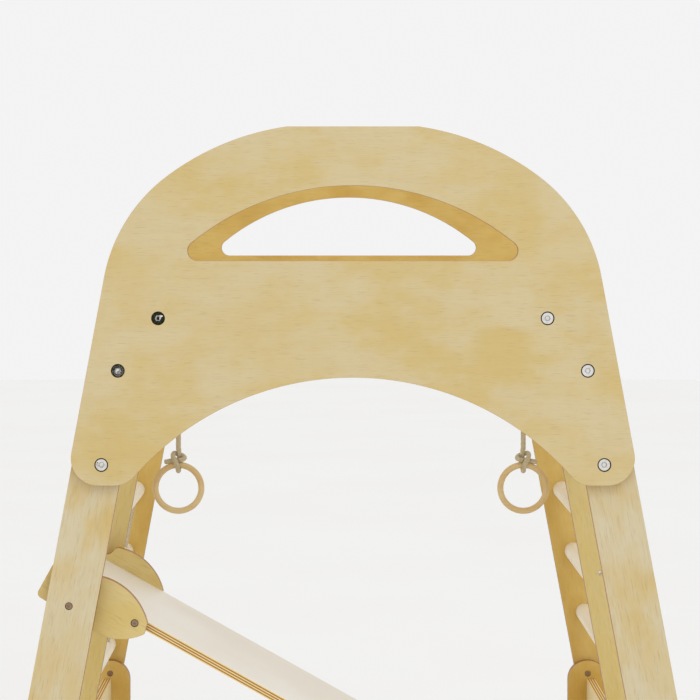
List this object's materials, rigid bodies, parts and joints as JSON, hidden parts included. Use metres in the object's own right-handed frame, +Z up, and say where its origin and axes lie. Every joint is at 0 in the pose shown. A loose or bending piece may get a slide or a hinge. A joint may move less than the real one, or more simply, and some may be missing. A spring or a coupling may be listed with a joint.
{
  "type": "toddler climbing frame",
  "caption": "Indoor toddler climbing frame of birch plywood with arched panels, splayed legs, ladder rungs, a hook-on slide and hanging rings.",
  "frame": {"origin": "middle of the bounding box on the floor; the frame itself stands 114 mm to the left of it, because the slide runs out to the right", "axes": "+X to the right along the slide, +Y from the front panel to the rear panel, +Z up"},
  "size_m": [1.322, 0.9, 1.3],
  "materials": {
    "birch_ply": "clear satin lacquer on birch plywood",
    "slide_ply": "smooth off-white faces, bare striped plywood edges",
    "dowel": "fine sanded pale beech",
    "ring_wood": "satin lacquer",
    "rope": "twisted khaki rope",
    "steel": "nickel plated",
    "insert_brass": "plain"
  },
  "bodies": {
    "frame": {"arch_panel_front": "birch_ply", "arch_panel_rear": "birch_ply", "leg_front_left": "birch_ply", "leg_front_right": "birch_ply", "leg_middle_left": "birch_ply", "leg_middle_right": "birch_ply", "leg_rear_left": "birch_ply", "leg_rear_right": "birch_ply", "ring_bar_left": "dowel", "ring_bar_right": "dowel", "upper_tie_bar_left": "dowel", "upper_tie_bar_right": "dowel", "lower_tie_bar_left": "dowel", "lower_tie_bar_right": "dowel", "bar_inserts": "insert_brass", "panel_bolts_front": "steel", "panel_bolts_rear": "steel", "hook_bar": "dowel", "hook_bar_screws": "steel", "leg_insert": "insert_brass", "rung_left_1": "dowel", "rung_left_2": "dowel", "rung_left_3": "dowel", "rung_right_1": "dowel", "rung_right_2": "dowel", "rung_right_3": "dowel", "rung_screws": "steel", "ladder_rope_1": "rope", "ladder_rope_2": "rope", "ladder_rope_3": "rope", "post_middle_left": "birch_ply", "post_middle_right": "birch_ply", "post_rear_left": "birch_ply", "post_rear_right": "birch_ply", "side_board_left": "birch_ply", "side_board_right": "birch_ply", "post_screws": "steel", "side_board_screws": "steel"},
    "slide": {"slide_board": "slide_ply", "slide_ear_front": "birch_ply", "slide_ear_rear": "birch_ply", "slide_ear_screws": "steel"},
    "hitch_left": {"ring_hitch_left": "rope"},
    "hitch_right": {"ring_hitch_right": "rope"},
    "ring_left": {"ring_rope_left": "rope", "ring_top_knot_left": "rope", "ring_knot_left": "rope", "ring_left": "ring_wood"},
    "ring_right": {"ring_rope_right": "rope", "ring_top_knot_right": "rope", "ring_knot_right": "rope", "ring_right": "ring_wood"}
  },
  "joints": [
    {"name": "slide_lift", "type": "hinge", "parent": "frame", "child": "slide", "pos_m": [-0.511, -0.2715, 0.63], "axis": [0, -1, 0], "range_deg": [0, 25]},
    {"name": "ring_swing_left", "type": "hinge", "parent": "frame", "child": "hitch_left", "pos_m": [-0.385, -0.065, 1.033], "axis": [0, 1, 0], "range_deg": [-45, 4]},
    {"name": "ring_sway_left", "type": "hinge", "parent": "hitch_left", "child": "ring_left", "pos_m": [-0.385, -0.065, 1], "axis": [1, 0, 0], "range_deg": [-30, 30]},
    {"name": "ring_swing_right", "type": "hinge", "parent": "frame", "child": "hitch_right", "pos_m": [0.157, -0.065, 1.033], "axis": [0, -1, 0], "range_deg": [-45, 4]},
    {"name": "ring_sway_right", "type": "hinge", "parent": "hitch_right", "child": "ring_right", "pos_m": [0.157, -0.065, 1], "axis": [1, 0, 0], "range_deg": [-30, 30]}
  ]
}
